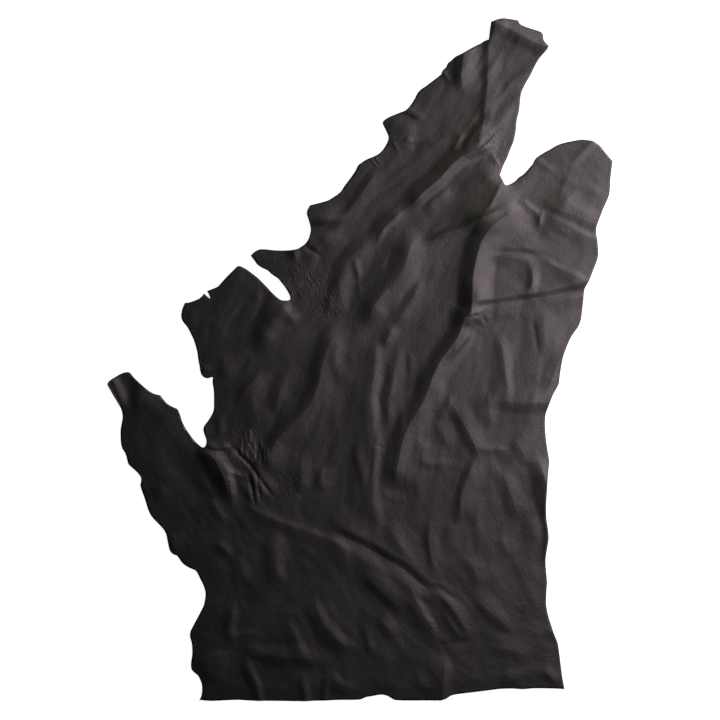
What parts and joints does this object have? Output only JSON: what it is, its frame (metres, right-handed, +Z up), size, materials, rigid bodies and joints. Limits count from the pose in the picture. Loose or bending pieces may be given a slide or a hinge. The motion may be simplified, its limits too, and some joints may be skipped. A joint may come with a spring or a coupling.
{
  "type": "cowhide",
  "caption": "Half of a tanned black cow leather hide lying flat, grain side up, with neck, shoulder and hind shank lobes and soft folds.",
  "frame": {"origin": "centre of the hide's outline in plan, on the surface it lies on", "axes": "+Y towards the neck end, +X towards the side cut along the backbone, +Z up out of the grain side"},
  "size_m": [1.245, 1.6801, 0.0209],
  "materials": {
    "leather": "semi-matt black grain"
  },
  "bodies": {
    "root": {"hide": "leather"}
  },
  "joints": []
}
